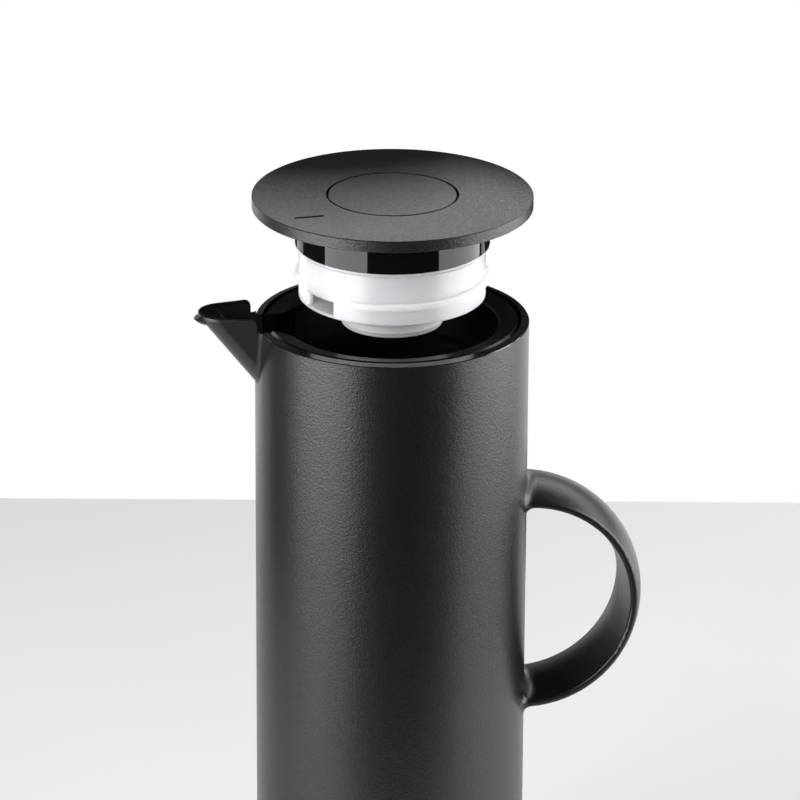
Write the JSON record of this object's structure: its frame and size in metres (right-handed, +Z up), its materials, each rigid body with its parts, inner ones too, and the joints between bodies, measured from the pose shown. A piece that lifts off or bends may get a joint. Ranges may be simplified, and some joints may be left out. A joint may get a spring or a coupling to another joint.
{
  "type": "thermal jug",
  "caption": "Cylindrical black vacuum jug with a beak spout, a half-ring strap handle and a lift-out bayonet stopper with a push-button pouring valve.",
  "frame": {"origin": "on the axis of the cylinder, on the plane that the jug stands on", "axes": "+Z up along the cylinder, +X towards the handle, -X towards the spout"},
  "size_m": [0.1792, 0.11, 0.3492],
  "materials": {
    "shell_black": "fine spark-eroded grain, matte",
    "collar_black": "polished",
    "base_black": "plain moulded",
    "lid_black": "fine spark-eroded grain, matte",
    "button_black": "fine spark-eroded grain, matte",
    "skirt_black": "high gloss",
    "guide_white": "plain moulded",
    "stopper_white": "smooth gloss",
    "valve_white": "smooth",
    "silicone_grey": "soft satin silicone",
    "rubber_black": "matte",
    "glass_clear": "clear blown glass",
    "glass_silvered": "silvered blown glass",
    "spacer_pad": "plain fired pad",
    "steel": "drawn wire"
  },
  "bodies": {
    "jug": {"body_shell": "shell_black", "pouring_collar": "collar_black", "throat_ring": "collar_black", "collar_seal": "silicone_grey", "liner_inner_flask": "glass_clear", "liner_outer_flask": "glass_silvered", "liner_spacers": "spacer_pad", "liner_nib_cap": "rubber_black", "shoulder_ring": "rubber_black", "liner_cushion": "rubber_black", "base_cap": "base_black", "foot_pad": "rubber_black"},
    "plug": {"neck_seal": "silicone_grey"},
    "lid": {"lid_cover": "lid_black", "lid_skirt": "skirt_black", "stopper_body": "stopper_white", "button_guide": "guide_white", "stem_seal": "rubber_black"},
    "button": {"push_button": "button_black", "valve_stem": "valve_white", "stem_clip": "steel", "valve_poppet": "valve_white", "valve_seal": "silicone_grey", "return_spring": "steel"}
  },
  "joints": [
    {"name": "lid_lift", "type": "slide", "parent": "jug", "child": "plug", "axis": [0, 0, 1], "range_m": [-0.0463, 0.03]},
    {"name": "lid_turn", "type": "hinge", "parent": "plug", "child": "lid", "pos_m": [0, 0, 0.32], "axis": [0, 0, -1], "range_deg": [0, 32]},
    {"name": "button_press", "type": "slide", "parent": "lid", "child": "button", "axis": [0, 0, -1], "range_m": [0, 0.004], "stiffness_N_per_m": 600, "springref_m": -0.003, "deforming": ["return_spring"]}
  ]
}
